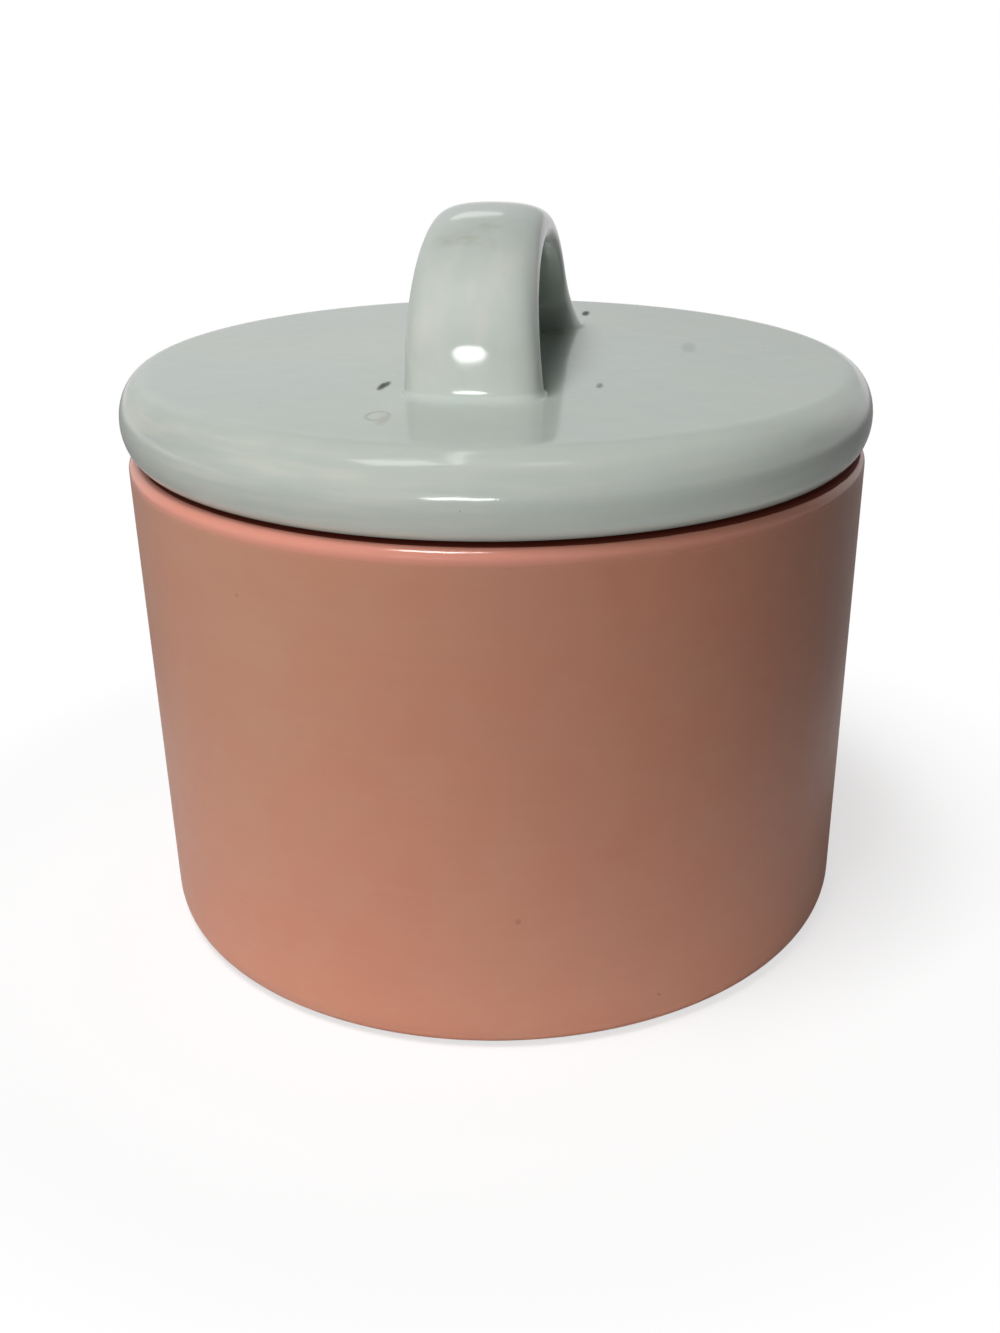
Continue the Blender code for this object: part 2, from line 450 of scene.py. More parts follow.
# %% [markdown]
# Shader maths is easier to read as Python than as a list of nodes and links. This class wraps a socket,
# so that an expression such as `1 - mask` adds the Math node that works it out. Any other node comes
# from its `node` method, which sets the node up first and then fills or links its sockets.

# %% Shader maths
MIX_COLOURS = (6, 7)
MIX_RESULT = 2


class Shade:
    """A socket of a node tree, for use in expressions."""

    def __init__(self, tree, socket=None):
        self.tree = tree
        self.socket = socket

    def node(self, kind, settings=None, sockets=None, output=0):
        """Adds a node: its settings first, then values or links for its sockets."""
        made = self.tree.nodes.new("ShaderNode" + kind)
        for name, value in (settings or {}).items():
            setattr(made, name, value)
        for key, value in (sockets or {}).items():
            if isinstance(value, Shade):
                self.tree.links.new(value.socket, made.inputs[key])
            else:
                made.inputs[key].default_value = value
        return Shade(self.tree, made.outputs[output] if made.outputs else None)

    def maths(self, operation, *values):
        """A Math node on numbers or sockets."""
        return self.node("Math", {"operation": operation}, dict(enumerate(values)))

    def __add__(self, other):
        return self.maths("ADD", self, other)

    def __radd__(self, other):
        return self.maths("ADD", other, self)

    def __sub__(self, other):
        return self.maths("SUBTRACT", self, other)

    def __rsub__(self, other):
        return self.maths("SUBTRACT", other, self)

    def __mul__(self, other):
        return self.maths("MULTIPLY", self, other)

    def __rmul__(self, other):
        return self.maths("MULTIPLY", other, self)

    def either(self, other):
        """The larger of two masks."""
        return self.maths("MAXIMUM", self, other)

    def step(self, start, end):
        """0 before start and 1 after end, with a smooth ramp between them."""
        ramp = {"Value": self, "From Min": start, "From Max": end}
        return self.node("MapRange", {"interpolation_type": "SMOOTHSTEP"}, ramp)

    def mix(self, first, second):
        """Two colours, each a socket or three numbers, mixed with this value as the share of the second."""
        sockets = {0: self}
        for key, colour in zip(MIX_COLOURS, (first, second)):
            sockets[key] = colour if isinstance(colour, Shade) else (*colour, 1.0)
        return self.node("Mix", {"data_type": "RGBA"}, sockets, output=MIX_RESULT)

    def scaled(self, amount):
        """A colour or a vector times a number."""
        return self.node("VectorMath", {"operation": "SCALE"}, {0: self, "Scale": amount})

    def times(self, factors):
        """A vector times three numbers, axis by axis."""
        return self.node("VectorMath", {"operation": "MULTIPLY"}, {0: self, 1: factors})


# %% [markdown]
# A glaze is never one flat colour. It pools and thins, it holds specks of iron and burst bubbles, and the
# wheel leaves lines in the clay under it. All of these are noises and distances on Object coordinates,
# which are metres on the piece itself, so that their sizes can be thought of in millimetres.

# %% Places on a piece
OBJECT_COORDINATES = 3
X, Y, Z = range(3)


def start_material(name):
    """A new material with an empty tree, and its Object coordinates to start expressions from."""
    material = bpy.data.materials.new(name)
    material.use_nodes = True
    material.node_tree.nodes.clear()
    return material, Shade(material.node_tree).node("TexCoord", output=OBJECT_COORDINATES)


def along_axis(place, axis):
    """One coordinate of a place."""
    return place.node("SeparateXYZ", None, {0: place}, output=axis)


def distance(place, point):
    """How far a place is from a point."""
    return place.node("VectorMath", {"operation": "DISTANCE"}, {0: place, 1: point}, output=1)


def from_axis(place):
    """How far a place is from the axis that pot and lid were turned on."""
    return distance(place.times((1, 1, 0)), (0, 0, 0))


# %% [markdown]
# Three kinds of pattern are enough for this dish. Soft noise gives drifts, mottling and, when stretched,
# streaks and turning lines. Single marks are round spots with a soft edge, and burst bubbles are specks on
# the cells of a Voronoi texture. A glaze's relief goes through a Bump node, because it is far too fine to
# model.

# %% Patterns in a glaze
NOISE_MIDDLE = 0.5
NOISE_GAIN = 3
SPECK_CORE = 0.5
FINE_DETAIL = 3
SLOW_FADE = (-0.8, 0.8)


def noise(place, size, detail=2.0, stretch=(1, 1, 1)):
    """Soft noise from about -1 to 1, with lumps of a given size that can be stretched along the axes."""
    scaled = place.times([1 / (size * factor) for factor in stretch])
    raw = place.node("TexNoise", None, {"Vector": scaled, "Scale": 1.0, "Detail": detail})
    return (raw - NOISE_MIDDLE) * NOISE_GAIN


def spot(place, centre, radius, softness=0.35):
    """1 on a round mark of a given radius, 0 off it, with a soft edge."""
    return 1 - distance(place, centre).step(radius * (1 - softness), radius * (1 + softness))


def specks(place, spacing, radius):
    """Small specks scattered through the glaze, about a spacing apart."""
    away = place.node("TexVoronoi", None, {"Vector": place, "Scale": 1 / spacing})
    return 1 - away.step(radius / spacing * SPECK_CORE, radius / spacing)


def strongest(masks):
    """The largest of several masks at each place."""
    joined = masks[0]
    for mask in masks[1:]:
        joined = joined.either(mask)
    return joined


def finish_glaze(place, colour, roughness, relief, shine):
    """The shader of a glaze: colour, roughness, relief in millimetres, and how much light it mirrors."""
    normal = place.node("Bump", None, {"Strength": 1.0, "Distance": MM, "Height": relief})
    coat = {"Base Color": colour, "Roughness": roughness, "Normal": normal, "Specular IOR Level": shine}
    shader = place.node("BsdfPrincipled", None, coat)
    place.node("OutputMaterial", None, {"Surface": shader})


def glaze_piece(piece, material):
    """Puts a glaze on a piece."""
    piece.data.materials.clear()
    piece.data.materials.append(material)
    print(f"{piece.name}: {material.name}, {len(material.node_tree.nodes)} nodes")


# %% [markdown]
# Two places on the pot were wiped clean before firing, so that nothing would stick: the ring that it
# stands on, and the seat on the rim that the lid rests on. Both take a very dark red. On the seat it is
# painted shade, which darkens the thin line between lid and pot and is widened on the right by a skew.
# Over the rim the colour is lighter, partly from glaze that ran thin and partly as painted light, and
# less so on the right, which is painted shade under the lid. These could be pieces of their own, each
# with its material, but masks by height and distance keep the pot whole and give the wiped edges a
# soft, wavering line.

# %% Rim, foot and seat: thin glaze, bare clay, painted light and shade
# A very dark red: bare clay on the foot, and painted shade of the gap on the seat.
CLAY_AND_SEAM_SHADE = (0.120, 0.020, 0.010)
CLAY_ROUGHNESS = 0.85
THIN_LIT_RIM = (POT_HEIGHT - 2.6 * MM, POT_HEIGHT - 1.2 * MM)
RIM_SHADE_ON_RIGHT = (5 * MM, 25 * MM)
RIM_SHADE_SHARE = 0.6
FOOT_WIPE = (0.32 * MM, 0.48 * MM)
FOOT_WAVER = 0.1 * MM
SEAT_LOW = (POT_HEIGHT - 1.3 * MM, POT_HEIGHT - 1.2 * MM)
SEAT_EDGE = POT_RADIUS - 1.15 * MM
SEAT_SHADE_SKEW = 0.009
SEAT_WAVER = 0.05 * MM
SEAT_FADE = 0.15 * MM


def thin_and_lit_rim(place):
    """Where the rim is lighter: thin glaze and painted light, less on the right as painted shade."""
    rim = along_axis(place, Z).step(*THIN_LIT_RIM)
    return rim * (1 - RIM_SHADE_SHARE * along_axis(place, X).step(*RIM_SHADE_ON_RIGHT))


def bare_foot_and_seam_shade(place, foot_noise, seat_noise):
    """The unglazed foot ring, and the seat as painted shade of the gap, in a circle skewed to the right."""
    height = along_axis(place, Z)
    foot = 1 - (height + foot_noise * FOOT_WAVER).step(*FOOT_WIPE)
    # The skew widens the painted seam shade on the right.
    wiped_to = SEAT_EDGE + along_axis(place, X) * SEAT_SHADE_SKEW + seat_noise * SEAT_WAVER
    seat = height.step(*SEAT_LOW) * (wiped_to - from_axis(place)).step(0, SEAT_FADE)
    return foot.either(seat)


# %% [markdown]
# The pot's glaze is a salmon pink with a satin surface, and it isn't even. It drifts towards tan in broad
# drifts and small blotches, a broad tan patch at the upper left is partly painted reflection, and faint
# turning lines tint it. A fine tooth breaks up the highlights, and one speck sits low on the front. The
# lines only tint: relief as fine as theirs is smaller than a pixel, and would come out as stray dashes.

# %% Pink satin glaze
PINK = (0.450, 0.184, 0.118)
PINK_TAN = (0.440, 0.225, 0.149)
PINK_THIN_AND_LIT = (0.600, 0.248, 0.184)
PINK_SPECK = (0.16, 0.055, 0.035)
PINK_ROUGHNESS = 0.30
PINK_SHINE = 0.38
PINK_DRIFT = 22 * MM
PINK_BLOTCH = 7 * MM
PINK_MOTTLE = 4 * MM
PINK_TOOTH = 1.3 * MM
TURNING_LINE = 0.9 * MM
TURNING_STRETCH = (40, 40, 1)
TAN_REFLECTION_PLACE = (-27 * MM, -44 * MM, 64 * MM)
TAN_REFLECTION_RADIUS = 29 * MM
TAN_REFLECTION_SOFTNESS = 0.9
SPECK_PLACE = (7.7 * MM, -53.3 * MM, 20.6 * MM)
SPECK_RADIUS = 0.40 * MM
SPECK_STRENGTH = 0.3
BLOTCH_FADE = (-0.7, 0.9)
TAN_BY_DRIFT = 0.3
TAN_BY_BLOTCH = 0.3
TAN_BY_REFLECTION = 0.6
LINE_TINT = 0.018
PINK_MOTTLE_TINT = 0.012
PINK_MOTTLE_DULLING = 0.03
RIM_POLISH = 0.18
TOOTH_RELIEF = 0.002
PINK_MOTTLE_RELIEF = 0.004
SPECK_PIT = 0.006


def pink_satin_glaze():
    """The pot's glaze."""
    material, place = start_material("Pink_satin_glaze")
    drift = noise(place, PINK_DRIFT)
    blotch = noise(place, PINK_BLOTCH)
    mottle = noise(place, PINK_MOTTLE, detail=FINE_DETAIL)
    lines = noise(place, TURNING_LINE, stretch=TURNING_STRETCH)
    tooth = noise(place, PINK_TOOTH)
    # A painted reflection at the upper left, partly glaze tone.
    reflection_patch = spot(place, TAN_REFLECTION_PLACE, TAN_REFLECTION_RADIUS, TAN_REFLECTION_SOFTNESS)
    speck = spot(place, SPECK_PLACE, SPECK_RADIUS)
    # The lighter rim is thin glaze and painted light, with painted shade on the right.
    rim = thin_and_lit_rim(place)
    clay_and_seam_shade = bare_foot_and_seam_shade(place, drift, mottle)

    tan = drift.step(*SLOW_FADE) * TAN_BY_DRIFT + blotch.step(*BLOTCH_FADE) * TAN_BY_BLOTCH
    tan = tan + reflection_patch * TAN_BY_REFLECTION
    colour = tan.mix(PINK, PINK_TAN)
    colour = rim.mix(colour, PINK_THIN_AND_LIT)
    colour = colour.scaled(1 + LINE_TINT * lines + PINK_MOTTLE_TINT * mottle)
    colour = (speck * SPECK_STRENGTH).mix(colour, PINK_SPECK)
    # Unglazed clay on the foot, and painted shade of the gap on the seat.
    colour = clay_and_seam_shade.mix(colour, CLAY_AND_SEAM_SHADE)
    roughness = PINK_ROUGHNESS + PINK_MOTTLE_DULLING * mottle - RIM_POLISH * rim
    roughness = roughness + clay_and_seam_shade * (CLAY_ROUGHNESS - PINK_ROUGHNESS)
    relief = TOOTH_RELIEF * tooth + PINK_MOTTLE_RELIEF * mottle - SPECK_PIT * speck
    finish_glaze(place, colour, roughness, relief, PINK_SHINE)
    return material


glaze_piece(pot, pink_satin_glaze())

# %% [markdown]
# The lid's glaze is a pale grey-green gloss, thick enough to look deep. It isn't perfect: a short slanted
# dark mark and some specks lie by the handle, and a faint tea-coloured ring shows where a bubble burst and
# healed, with painted shade at its near side. A painted picture could hold such marks, but spots that are
# placed in millimetres from the lid's centre stay sharp at any size. They are set out in a squeezed space,
# so that on the lid each is drawn out from front to back.

# %% Marks on the lid
LID_DASH = ((-13.6, -21.4, 0.48, 0.9), (-13.5, -20.4, 0.54, 1.0), (-13.2, -19.5, 0.48, 0.9))
LID_SPECKS = ((15.9, -18.0, 0.44, 0.6), (10.7, 37.3, 0.62, 1.0), (28.1, 9.5, 1.0, 0.25))
MARK_DRAW = (1, 0.28, 1)
MARK_SOFTNESS = 0.5
RING_PLACE = (-11.1, -37.4)
RING_DRAW = (1, 0.62, 1)
RING_RADIUS = 1.4 * MM
RING_WIDTH = 0.25 * MM
RING_SOFTNESS = 0.1
RING_BREAKS = 1.2 * MM
RING_FADE = (-0.9, 0.5)
RING_FAINT = 0.5
RING_STRONGER = 0.45
RING_SHADE_PLACE = (-10.0, -39.4)
RING_SHADE_RADIUS = 0.7 * MM
RING_SHADE_SOFTNESS = 0.6
RING_SHADE_STRENGTH = 0.7


def lid_spot(place, draw, point, radius, softness):
    """A mark on the lid's flat top, at a point in millimetres, in a space squeezed by three factors."""
    x, y = point
    return spot(place.times(draw), (x * MM * draw[0], y * MM * draw[1], LID_TOP), radius, softness)


def lid_marks(place):
    """The dark marks on the lid's top: a dash made of several spots, and single specks."""
    marks = []
    for x, y, radius, strength in LID_DASH + LID_SPECKS:
        marks.append(strength * lid_spot(place, MARK_DRAW, (x, y), radius * MM, MARK_SOFTNESS))
    return strongest(marks)


def tea_ring(place):
    """A thin broken ring, the trace of a burst bubble, and a painted shade at its near side."""
    outside = lid_spot(place, RING_DRAW, RING_PLACE, RING_RADIUS + RING_WIDTH, RING_SOFTNESS)
    inside = lid_spot(place, RING_DRAW, RING_PLACE, RING_RADIUS - RING_WIDTH, RING_SOFTNESS)
    strength = RING_FAINT + RING_STRONGER * noise(place, RING_BREAKS).step(*RING_FADE)
    ring = (outside - inside) * strength
    # A painted shade on the ring's near side, in the ring's tea colour.
    near_shade = lid_spot(place, MARK_DRAW, RING_SHADE_PLACE, RING_SHADE_RADIUS, RING_SHADE_SOFTNESS)
    return ring.either(RING_SHADE_STRENGTH * near_shade)


# %% [markdown]
# Lid and handle were dipped in the same glaze, so one function makes both materials. What differs is
# passed in: how the streaks run, the tone where the glaze is thin, and functions that say where painted
# shade darkens the shoulder, where the glaze thins, and where the marks and stains are, with painted shade
# at the tea ring's near side. Dark marks are matt, as burnt specks are, and would look grey under a gloss.
# Only the seat was wiped clean, and it takes the pot's very dark red, which on the pot's seat is
# painted shade.

# %% Grey-green gloss glaze
GREY_GREEN = (0.432, 0.474, 0.434)
GREY_GREEN_COOL = (0.420, 0.471, 0.437)
DARK_MARK = (0.030, 0.028, 0.026)
TEA_AND_SHADE = (0.280, 0.265, 0.180)
GLOSS_ROUGHNESS = 0.10
GLOSS_SHINE = 0.5
GLOSS_DRIFT = 30 * MM
GLOSS_MOTTLE = 5 * MM
GLOSS_PEEL = 1.6 * MM
STREAK_WIDTH = 1.4 * MM
BUBBLE_SPACING = 6 * MM
BUBBLE_RADIUS = 0.16 * MM
STREAK_FADE = (-0.5, 0.8)
STREAK_SHARE = 0.8
STREAK_TINT = 0.10
SHOULDER_SHADE_DEPTH = 0.07
GLOSS_MOTTLE_TINT = 0.02
GLOSS_MOTTLE_DULLING = 0.015
STAIN_AND_SHADE_TINT = 0.6
BUBBLE_TINT = 0.35
MARK_STRENGTH = 0.85
MARK_MATTNESS = 0.6
WIPE_START = (-0.5 * MM, -0.3 * MM)
WIPE_END = (0, 0.12 * MM)
PEEL_RELIEF = 0.002
GLOSS_MOTTLE_RELIEF = 0.012
STREAK_RELIEF = 0.004
BUBBLE_PIT = 0.01


def grey_green_glaze(name, grain, thin_tone, shoulder_shade, cream, marks, stains_and_shade):
    """The glaze of lid and handle."""
    material, place = start_material(name)
    drift = noise(place, GLOSS_DRIFT)
    mottle = noise(place, GLOSS_MOTTLE, detail=FINE_DETAIL)
    peel = noise(place, GLOSS_PEEL)
    streak = noise(place, STREAK_WIDTH, detail=FINE_DETAIL, stretch=grain)
    bubbles = specks(place, BUBBLE_SPACING, BUBBLE_RADIUS)
    thin = cream(place)
    dark = marks(place)
    over_seat = along_axis(place, Z) - LID_SEAT
    wiped = over_seat.step(*WIPE_START) * (1 - over_seat.step(*WIPE_END))

    colour = drift.step(*SLOW_FADE).mix(GREY_GREEN, GREY_GREEN_COOL)
    streaky = (1 - STREAK_SHARE) + STREAK_SHARE * streak.step(*STREAK_FADE)
    colour = (thin * streaky).mix(colour, thin_tone)
    # The shoulder's painted shade deepens the tone, beside the mottle and streaks.
    tone_and_shade = GLOSS_MOTTLE_TINT * mottle + STREAK_TINT * thin * streak - SHOULDER_SHADE_DEPTH * shoulder_shade(place)
    colour = colour.scaled(1 + tone_and_shade)
    colour = (stains_and_shade(place) * STAIN_AND_SHADE_TINT).mix(colour, TEA_AND_SHADE)
    colour = (bubbles * BUBBLE_TINT).mix(colour, DARK_MARK)
    colour = (dark * MARK_STRENGTH).mix(colour, DARK_MARK)
    colour = wiped.mix(colour, CLAY_AND_SEAM_SHADE)
    roughness = GLOSS_ROUGHNESS + GLOSS_MOTTLE_DULLING * mottle + MARK_MATTNESS * dark
    roughness = roughness + wiped * (CLAY_ROUGHNESS - GLOSS_ROUGHNESS)
    relief = PEEL_RELIEF * peel + GLOSS_MOTTLE_RELIEF * mottle
    relief = relief + STREAK_RELIEF * thin * streak - BUBBLE_PIT * bubbles
    finish_glaze(place, colour, roughness, relief, GLOSS_SHINE)
    return material


# %% [markdown]
# On the lid a painted shade darkens the band where the top rolls into the edge, more on the left than on
# the right. Round the edge itself the glaze ran thin, and creamy streaks show through, again most on the
# left. Both follow the distance from the lid's axis.

# %% Lid glaze
CREAM = (0.500, 0.495, 0.430)
LID_GRAIN = (9, 9, 1)
SHOULDER_START = LID_RADIUS - LID_SHOULDER[0]
SHOULDER_SHADE_START = (SHOULDER_START + 1.0 * MM, SHOULDER_START + 2.4 * MM)
SHOULDER_SHADE_END = (LID_RADIUS - 1.0 * MM, LID_RADIUS - 0.2 * MM)
SHOULDER_SHADE_RIGHT = (5 * MM, 35 * MM)
SHOULDER_SHADE_LOW = (edge_height, edge_height + 1.0 * MM)
CREAM_START = (LID_RADIUS - 4.0 * MM, LID_RADIUS - 1.6 * MM)
CREAM_RIGHT = (-30 * MM, 10 * MM)
CREAM_EVERYWHERE = 0.1
EDGE_CREAM = 0.25
LEFT_EDGE_CREAM = 0.4


def lid_shoulder_shade(place):
    """Where painted shade darkens the lid's shoulder, most on the left."""
    radius = from_axis(place)
    roll = radius.step(*SHOULDER_SHADE_START) * (1 - radius.step(*SHOULDER_SHADE_END))
    roll = roll * (1 - along_axis(place, X).step(*SHOULDER_SHADE_RIGHT))
    return roll * along_axis(place, Z).step(*SHOULDER_SHADE_LOW)


def lid_cream(place):
    """How much cream shows: most on the edge at the left, and a little on the flat."""
    edge = from_axis(place).step(*CREAM_START)
    left = 1 - along_axis(place, X).step(*CREAM_RIGHT)
    return CREAM_EVERYWHERE + (EDGE_CREAM + LEFT_EDGE_CREAM * left) * edge


lid_glaze = grey_green_glaze("Lid_gloss_glaze", LID_GRAIN, CREAM, lid_shoulder_shade, lid_cream, lid_marks, tea_ring)
glaze_piece(lid, lid_glaze)

# %% [markdown]
# On the handle the glaze is thinner, because it runs off an upright strap. So a warmer cream shows
# through, most on the front leg, and it fades at the foot, where the glaze ends up. Fingers have left dull
# smudges near the crown, and there is a short faint scratch on the front leg.

# %% Handle glaze
WARM_CREAM = (0.520, 0.495, 0.452)
HANDLE_GRAIN = (3, 9, 9)
CREAM_BACK = (HANDLE_Y - 26 * MM, HANDLE_Y - 4 * MM)
CREAM_FOOT = (LID_TOP, LID_TOP + 3 * MM)
FRONT_CREAM = 0.4
SCRATCH = ((-3.9, -27.0, 93.9, 0.22), (-3.6, -27.0, 93.5, 0.25), (-3.3, -27.1, 93.1, 0.22))
SCRATCH_SOFTNESS = 0.6
SCRATCH_STRENGTH = 0.18
SMUDGES = (
    (-2.0, -15.0, 102.0, 2.2),
    (1.2, -16.0, 101.0, 1.8),
    (0.2, -12.0, 103.5, 1.4),
    (-4.8, -15.5, 101.5, 1.8),
)
SMUDGE_SOFTNESS = 0.9
SMUDGE_STRENGTH = 0.8
SMUDGE_BREAKS = 1.6 * MM


def spots(place, places, softness):
    """Several round marks, each with its place and radius in millimetres."""
    return strongest([
        spot(place, (x * MM, y * MM, z * MM), radius * MM, softness) for x, y, z, radius in places
    ])


def no_shoulder_shade(place):
    """No painted shade on the handle."""
    return 0


def handle_cream(place):
    """How much cream shows: most on the front leg, above the foot."""
    front = 1 - along_axis(place, Y).step(*CREAM_BACK)
    return CREAM_EVERYWHERE + FRONT_CREAM * front * along_axis(place, Z).step(*CREAM_FOOT)


def handle_scratch(place):
    """The scratch on the front leg."""
    return spots(place, SCRATCH, SCRATCH_SOFTNESS) * SCRATCH_STRENGTH


def handle_smudges(place):
    """The smudges near the crown, broken up like fingerprints."""
    broken = noise(place, SMUDGE_BREAKS).step(*SLOW_FADE)
    return spots(place, SMUDGES, SMUDGE_SOFTNESS) * broken * SMUDGE_STRENGTH


handle_glaze = grey_green_glaze(
    "Handle_gloss_glaze", HANDLE_GRAIN, WARM_CREAM, no_shoulder_shade, handle_cream, handle_scratch, handle_smudges
)
glaze_piece(handle, handle_glaze)

# %% [markdown]
# The camera stands a little to the right of the dish and looks down at it by some 23 degrees, close
# enough for the pot to narrow visibly towards its foot. Its place, turn and lens were fitted to the
# outlines of lid and pot.

# %% Camera
CAMERA_PLACE = (25.59 * MM, -219.52 * MM, 129.17 * MM)
CAMERA_TURN = (66.721, -0.080, 4.310)
LENS = 40.22
SHIFT_X = -0.045
CLIP_START = 0.01

camera_data = bpy.data.cameras.new("Camera")
camera_data.lens = LENS
camera_data.shift_x = SHIFT_X
camera_data.clip_start = CLIP_START
camera = bpy.data.objects.new("Camera", camera_data)
camera.location = CAMERA_PLACE
camera.rotation_euler = [math.radians(angle) for angle in CAMERA_TURN]
bpy.context.scene.collection.objects.link(camera)
bpy.context.scene.camera = camera
print(f"camera {Vector(CAMERA_PLACE).length:.3f} m from the foot, lens {LENS} mm")

# %% [markdown]
# The dish stands on a white floor. For the camera the far floor is plain white, so that no horizon shows.
# Near the dish it is a matt white that takes the shadow and throws light back up at the foot, mixed for the
# camera with a white that glows, so that the shadow stays pale. A gloss glaze mirrors whatever is round it,
# and white on all sides would wash it out. So for mirrored rays the floor is dimmer, and only its far edge
# is bright. Light Path tells these rays apart.

# %% Floor
FLOOR_SIZE = 4.0
FLOOR_DROP = 0.05 * MM
FLOOR_NEAR = (0.93, 0.93, 0.93)
FLOOR_FAR = (0.06, 0.06, 0.06)
MATT_FADE = (0.075, 0.14)
WHITE_FADE = (0.06, 0.115)
NEAR_GLOW = 0.66
FLOOR_MIRRORED = 0.26
FLOOR_NEAR_MIRRORED = 0.45
HORIZON = 0.8
HORIZON_FADE = (0.4, 1.0)
WHITE = (1, 1, 1, 1)


def ray_kinds(start):
    """Masks for the camera's rays, those that a glaze mirrors, and those through glass."""
    outputs = start.node("LightPath").socket.node.outputs
    names = ("Is Camera Ray", "Is Glossy Ray", "Is Transmission Ray")
    return [Shade(start.tree, outputs[name]) for name in names]


def seen_white(rays, mirrored):
    """White for the camera and through glass, and a dimmer tone for what a glaze mirrors."""
    camera_ray, glossy_ray, transmission_ray = rays
    return camera_ray.either(glossy_ray * mirrored).either(transmission_ray)


def floor_material():
    """White from far away, and matt near the dish."""
    material, place = start_material("Pale_floor")
    rays = ray_kinds(place)
    camera_ray, glossy_ray = rays[:2]
    away = from_axis(place)
    far = away.step(*WHITE_FADE)
    mirrored = FLOOR_MIRRORED + (HORIZON - FLOOR_MIRRORED) * away.step(*HORIZON_FADE)
    glow = far * seen_white(rays, mirrored) + (1 - far) * camera_ray * NEAR_GLOW
    matt_colour = away.step(*MATT_FADE).mix(FLOOR_NEAR, FLOOR_FAR)
    matt_colour = matt_colour.scaled(1 - glossy_ray * (1 - FLOOR_NEAR_MIRRORED))
    matt = place.node("BsdfDiffuse", None, {"Color": matt_colour})
    white = place.node("Emission", None, {"Color": WHITE, "Strength": 1.0})
    shader = place.node("MixShader", None, {0: glow, 1: matt, 2: white})
    place.node("OutputMaterial", None, {"Surface": shader})
    return material


bpy.ops.object.select_all(action="DESELECT")
bpy.ops.mesh.primitive_plane_add(size=FLOOR_SIZE, location=(0, 0, -FLOOR_DROP))
floor_plane = bpy.context.object
floor_plane.name = "Floor"
floor_plane.data.materials.append(floor_material())
floor_plane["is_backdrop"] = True
print(f"floor {FLOOR_SIZE:.0f} m across")

# %% [markdown]
# The background follows the same idea. The camera sees white, and the glaze a dim room: a backdrop behind
# the dish, brighter on the left and at its far right end, a lit wall on the right, and a bright strip along
# the horizon. A picture of a real room would mirror well too, but a few steps over the direction of the ray
# need no file. That direction has a length of 1, and each step fades over a range of its part to the right,
# backwards or upwards.

# %% Background
ROOM = 0.12
FILL = 0.02
BACKDROP_LEFT = 0.66
BACKDROP_RIGHT = 0.52
BACKDROP_CHANGE = (-0.25, 0.10)
BACKDROP_SIDE = (0.10, 0.70)
BACKDROP_TOP = (0.30, 0.80)
BACKDROP_END = (0.3, 0.6)
BACKDROP_END_LIGHT = 0.4
RIGHT_WALL = 0.3
HORIZON_LEFT = (-0.7, -0.3)
HORIZON_TOP = (0.04, 0.14)


def studio_world():
    """White for the camera, and a dim room with a lit backdrop for what a glaze mirrors."""
    world = bpy.data.worlds.new("Studio")
    world.use_nodes = True
    world.node_tree.nodes.clear()
    direction = Shade(world.node_tree).node("TexCoord", output=OBJECT_COORDINATES)
    across, back, up = (along_axis(direction, axis) for axis in (X, Y, Z))
    tone = BACKDROP_LEFT + (BACKDROP_RIGHT - BACKDROP_LEFT) * across.step(*BACKDROP_CHANGE)
    tone = tone + BACKDROP_END_LIGHT * across.step(*BACKDROP_END)
    backdrop = back.step(*BACKDROP_SIDE) * tone - ROOM
    right_wall = RIGHT_WALL * across.step(*BACKDROP_SIDE)
    lit = backdrop.either(right_wall) * (1 - up.step(*BACKDROP_TOP))
    horizon = HORIZON * across.step(*HORIZON_LEFT) * (1 - up.step(*HORIZON_TOP))
    seen = seen_white(ray_kinds(direction), (ROOM + lit).either(horizon))
    light = {"Color": WHITE, "Strength": FILL + (1 - FILL) * seen}
    background = direction.node("Background", None, light)
    direction.node("OutputWorld", None, {"Surface": background})
    return world


bpy.context.scene.world = studio_world()
bpy.context.scene.view_settings.view_transform = "Standard"
print("white background")

# %% [markdown]
# Lamps are placed by their direction from the dish: azimuth from the front, to the right, and elevation. A
# key lamp high on the left shapes the whole dish, and one behind it keeps the back from going black. Low
# lamps in front and at the sides are flagged, as in a studio, so that each lights only the pieces named.
# In the glossy lid all of these would show as big squares, so reflections don't see them.
#
# The highlights are made the other way round, with lamps that only reflections see: soft windows in front,
# over the rim and behind the crown, and a long thin tube overhead. The tube and the window on the left are
# turned about the line to the dish, so that they slant across the lid.

# %% Lamps
LAMP_AIM = Vector((0, 0, 60 * MM))
LAMP_DISTANCE = 0.9


def lamp(name, azimuth, elevation, size, watts, pieces=(), turn=0):
    """A rectangular lamp that doesn't show in the glaze; it can be flagged to light some pieces only."""
    data = bpy.data.lights.new(name, "AREA")
    data.shape = "RECTANGLE"
    data.size, data.size_y = size
    data.energy = watts
    light = bpy.data.objects.new(name, data)
    side, rise = math.radians(azimuth), math.radians(elevation)
    towards = Vector((math.cos(rise) * math.sin(side), -math.cos(rise) * math.cos(side), math.sin(rise)))
    light.location = LAMP_AIM + towards * LAMP_DISTANCE
    light.rotation_euler = towards.to_track_quat("Z", "Y").to_euler()
    light.rotation_euler.rotate_axis("Z", math.radians(turn))
    light.visible_camera = False
    light.visible_glossy = False
    bpy.context.scene.collection.objects.link(light)
    if pieces:
        light.light_linking.receiver_collection = bpy.data.collections.new(name + "_lights")
        for piece in pieces:
            light.light_linking.receiver_collection.objects.link(piece)
    return light


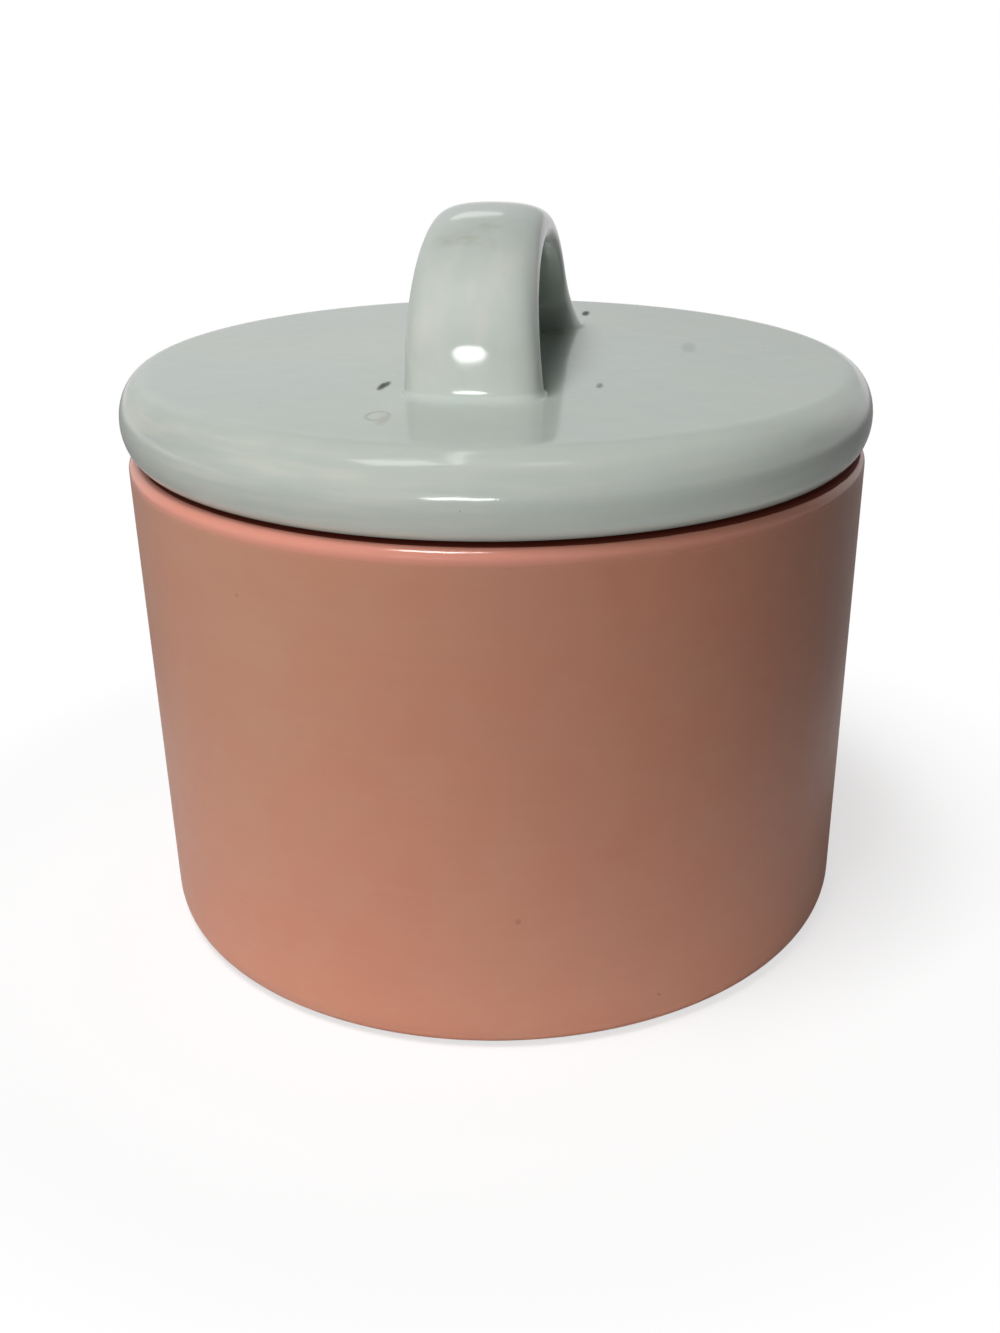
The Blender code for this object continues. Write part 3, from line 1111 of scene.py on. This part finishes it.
def window(name, azimuth, elevation, size, watts, pieces, turn=0, shape="ELLIPSE"):
    """A lamp that only shows as a highlight, and only on some pieces."""
    light = lamp(name, azimuth, elevation, size, watts, pieces, turn)
    light.data.shape = shape
    light.visible_diffuse = False
    light.visible_glossy = True


lamp("Key", -37, 72, (0.30, 0.30), 6.8)
lamp("Front", -14, 12, (0.30, 0.30), 4.4, (pot, floor_plane))
lamp("Left", -75, 12, (0.30, 0.30), 2.0, (pot,))
lamp("Back", 170, 14, (0.50, 0.50), 2.0)
lamp("Pot_right", 150, 14, (0.40, 0.40), 3.0, (pot,))
lamp("Handle_front", -10, 4, (0.12, 0.10), 5.1, (handle,))
lamp("Lid_front", -16, 4, (0.30, 0.10), 5.1, (lid,))
lamp("Lid_right", 95, 10, (0.30, 0.20), 0.65, (lid,))
lamp("Lid_back", -165, 25, (0.30, 0.30), 1.4, (lid,))
window("Front_window", -4, -2.3, (0.32, 0.055), 1.1, (lid,))
window("Handle_window", -7, 11, (0.23, 0.20), 1.7, (handle,))
window("Crown_window", -170, 26, (0.15, 0.09), 0.028, (handle,))
window("Rim_window", -29, 70, (0.27, 0.40), 6.5, (pot,))
window("Left_window", -38, 58, (0.28, 0.20), 0.7, (lid,), 55, "RECTANGLE")
window("Tube", -55, 82, (0.045, 0.79), 0.4, (lid,), 55, "RECTANGLE")
window("Right_window", 27, 62, (0.22, 0.16), 0.12, (lid,))

# %% [markdown]
# Every piece now rides on the moving body that carries it, and the part of the model that it stands for
# is hidden. The handle rides with the lid, because it was luted to it.

# %% Ride on the frame
for piece, body, node, slot in (
    (pot, "pot", "pot", "pink_glaze"),
    (lid, "lid", "lid", "grey_green_glaze"),
    (handle, "lid", "lid_handle", "grey_green_glaze"),
):
    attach(piece, body)
    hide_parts(node)
    print(f"{piece.name} rides on {body} and stands for {node}")

# %% [markdown]
# Last, the size of the finished dish is printed, to set beside the size of the model.

# %% Size
visual_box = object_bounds()
say_box("visual box:", visual_box)
